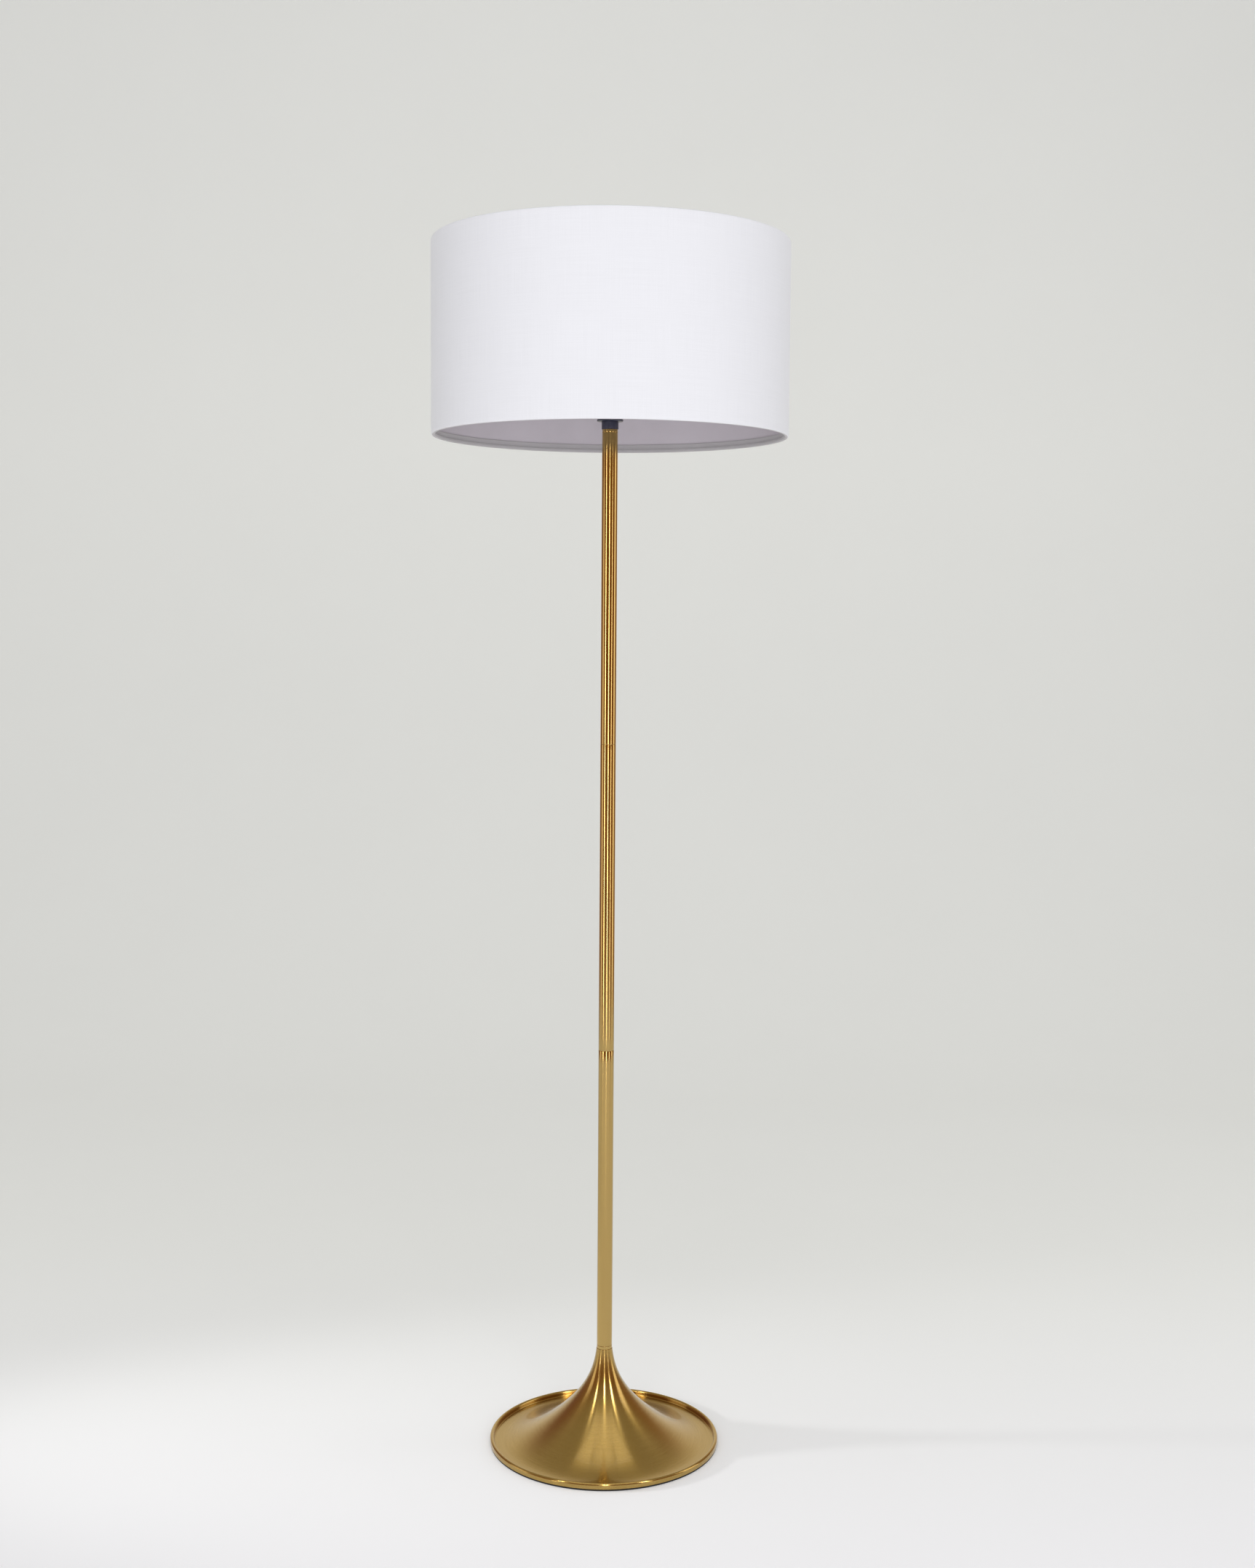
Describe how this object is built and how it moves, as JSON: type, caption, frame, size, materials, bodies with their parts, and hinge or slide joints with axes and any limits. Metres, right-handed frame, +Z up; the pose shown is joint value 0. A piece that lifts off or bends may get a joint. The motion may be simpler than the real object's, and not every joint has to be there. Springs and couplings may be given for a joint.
{
  "type": "floor lamp",
  "caption": "Straight-stemmed floor lamp with a white cloth drum shade, a sectioned brass tube stem and a trumpet foot with a rolled lip.",
  "frame": {"origin": "on the lamp's axis at floor level, under the middle of the foot", "axes": "+Z up along the stem; +Y to the rear, where the supply cord leaves the foot; +X to the right seen from the front"},
  "size_m": [0.45, 0.45, 1.55],
  "materials": {
    "brass_foot": "satin brushed brass plate",
    "brass_stem": "brushed and lacquered brass plate",
    "black_trim": "matt moulded",
    "felt": "needled felt",
    "zinc_steel": "zinc plated",
    "cast_iron": "as cast, primed",
    "white_nylon": "moulded",
    "lead_sheath": "extruded",
    "black_holder": "moulded, fine texture",
    "white_core": "moulded",
    "contact_brass": "bright rolled",
    "white_wire": "white powder coat",
    "shade_lining": "smooth satin sheet",
    "shade_cloth": "fine plain weave",
    "bulb_metal": "nickel plated",
    "bulb_glass_black": "black glass",
    "bulb_white": "moulded",
    "bulb_opal": "opal, satin",
    "bulb_board": "plain"
  },
  "bodies": {
    "stand": {"base_shell": "brass_foot", "edge_trim": "black_trim", "foot_pad": "felt", "base_plate": "zinc_steel", "plate_screws": "zinc_steel", "counterweight": "cast_iron", "tie_tube": "zinc_steel", "tie_washer": "zinc_steel", "tie_lock_washer": "zinc_steel", "tie_nut": "zinc_steel", "cord_bush": "black_trim", "terminal_block": "white_nylon", "terminal_block_screws": "zinc_steel", "stem_foot_bush": "brass_stem", "stem_lower": "brass_stem", "coupler_bush_lower": "zinc_steel", "coupler_nipple_lower": "zinc_steel", "stem_middle": "brass_stem", "coupler_bush_upper": "zinc_steel", "coupler_nipple_upper": "zinc_steel", "stem_upper": "brass_stem", "stem_top_bush": "brass_stem", "stem_lead": "lead_sheath", "holder_nipple": "zinc_steel", "holder_neck": "black_holder", "holder_cap": "black_holder", "holder_sleeve": "black_holder", "holder_core": "white_core", "contact_shell": "contact_brass", "holder_terminals": "contact_brass", "holder_terminal_screws": "zinc_steel", "lead_cores": "lead_sheath"},
    "shade": {"fitter_ring": "white_wire", "fitter_arms": "white_wire", "bottom_wire": "white_wire", "top_wire": "white_wire", "shade_liner": "shade_lining", "shade_fabric": "shade_cloth", "bottom_hem": "shade_cloth", "top_hem": "shade_cloth"},
    "shade_ring": {"shade_ring": "black_holder"},
    "centre_contact": {"centre_contact": "contact_brass"},
    "bulb_base": {"bulb_tip": "bulb_metal", "bulb_insulator": "bulb_glass_black"},
    "bulb": {"bulb_cap": "bulb_metal", "bulb_body": "bulb_white", "bulb_led_board": "bulb_board", "bulb_globe": "bulb_opal"}
  },
  "joints": [
    {"name": "shade_swivel", "type": "hinge", "parent": "stand", "child": "shade", "pos_m": [0, 0, 1.35], "axis": [0, 0, 1], "continuous": true},
    {"name": "ring_loosen", "type": "hinge", "parent": "stand", "child": "shade_ring", "pos_m": [0, 0, 1.35], "axis": [0, 0, 1], "range_deg": [0, 90]},
    {"name": "bulb_rise", "type": "slide", "parent": "stand", "child": "bulb_base", "axis": [0, 0, 1], "range_m": [0, 0.0182]},
    {"name": "bulb_turn", "type": "hinge", "parent": "bulb_base", "child": "bulb", "pos_m": [0, 0, 1.36], "axis": [0, 0, 1], "range_deg": [0, 1800]},
    {"name": "contact_press", "type": "slide", "parent": "stand", "child": "centre_contact", "axis": [0, 0, 1], "range_m": [-0.0008, 0], "stiffness_N_per_m": 500}
  ],
  "couplings": [
    {"joint": "bulb_rise", "follows": "bulb_turn", "m_per_rad": 0.00057773}
  ]
}
